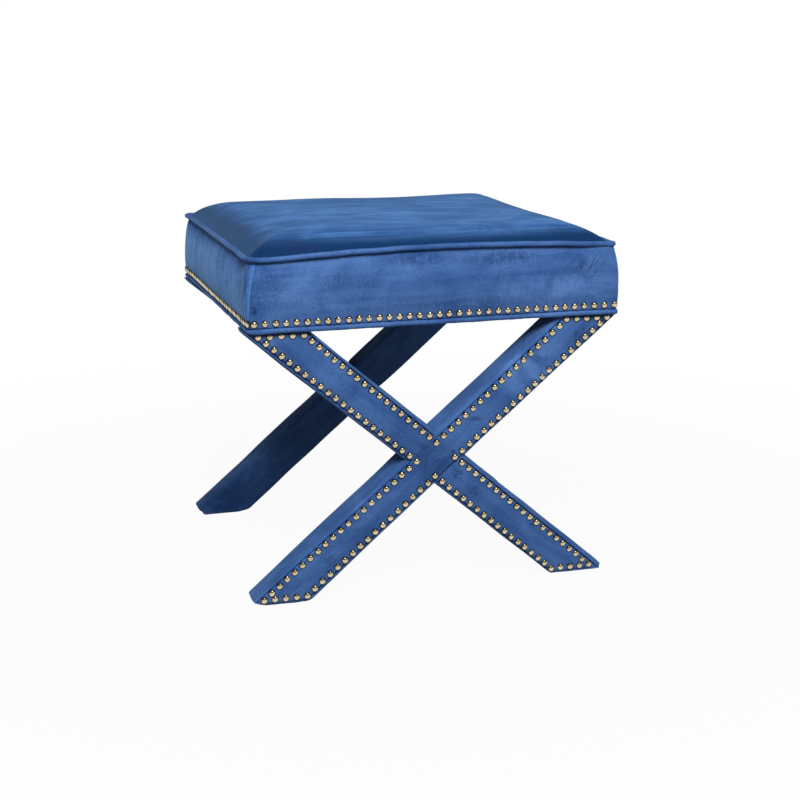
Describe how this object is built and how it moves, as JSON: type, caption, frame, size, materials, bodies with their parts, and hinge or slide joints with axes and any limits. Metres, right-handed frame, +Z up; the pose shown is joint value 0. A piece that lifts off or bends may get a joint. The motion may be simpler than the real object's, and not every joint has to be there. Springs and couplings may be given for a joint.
{
  "type": "upholstered bench seat",
  "caption": "Free-standing upholstered bench seat with a crowned velvet cushion, dome-nail trim and padded crossed legs at front and back.",
  "frame": {"origin": "on the floor under the middle of the seat", "axes": "+Z up, +X to the right along the nailed front, +Y towards the back"},
  "size_m": [0.512, 0.46, 0.4958],
  "materials": {
    "velvet": "cut-pile velvet, deep blue",
    "hardwood": "planed, unfinished",
    "plywood": "sanded",
    "foam": "open-cell foam",
    "wadding": "polyester wadding",
    "cotton_cord": "twisted cotton",
    "dust_cloth": "non-woven black cloth",
    "nail_brass": "polished, dark at the rim",
    "zinc_steel": "zinc plated",
    "glide_plastic": "moulded"
  },
  "bodies": {
    "root": {"seat_top_panel": "velvet", "top_piping": "velvet", "bottom_welt": "velvet", "front_boxing": "velvet", "back_boxing": "velvet", "left_boxing": "velvet", "right_boxing": "velvet", "front_left_leg_wrap": "velvet", "front_left_leg_panel": "velvet", "front_right_leg_wrap": "velvet", "front_right_leg_panel": "velvet", "back_left_leg_wrap": "velvet", "back_left_leg_panel": "velvet", "back_right_leg_wrap": "velvet", "back_right_leg_panel": "velvet", "seat_front_rail": "hardwood", "seat_back_rail": "hardwood", "seat_left_rail": "hardwood", "seat_right_rail": "hardwood", "seat_centre_batten": "hardwood", "corner_blocks": "hardwood", "rail_dowels": "hardwood", "front_left_leg_core": "hardwood", "front_right_leg_core": "hardwood", "back_left_leg_core": "hardwood", "back_right_leg_core": "hardwood", "seat_deck": "plywood", "seat_foam": "foam", "seat_wadding": "wadding", "front_left_leg_pad": "wadding", "front_right_leg_pad": "wadding", "back_left_leg_pad": "wadding", "back_right_leg_pad": "wadding", "top_piping_cord": "cotton_cord", "bottom_welt_cord": "cotton_cord", "dust_cover": "dust_cloth", "front_seat_nails": "nail_brass", "back_seat_nails": "nail_brass", "left_seat_nails": "nail_brass", "right_seat_nails": "nail_brass", "front_leg_nails": "nail_brass", "back_leg_nails": "nail_brass", "deck_screws": "zinc_steel", "lap_screws": "zinc_steel", "leg_bolts": "zinc_steel", "leg_washers": "zinc_steel", "leg_inserts": "zinc_steel", "dust_cover_staples": "zinc_steel", "glides": "glide_plastic"}
  },
  "joints": []
}
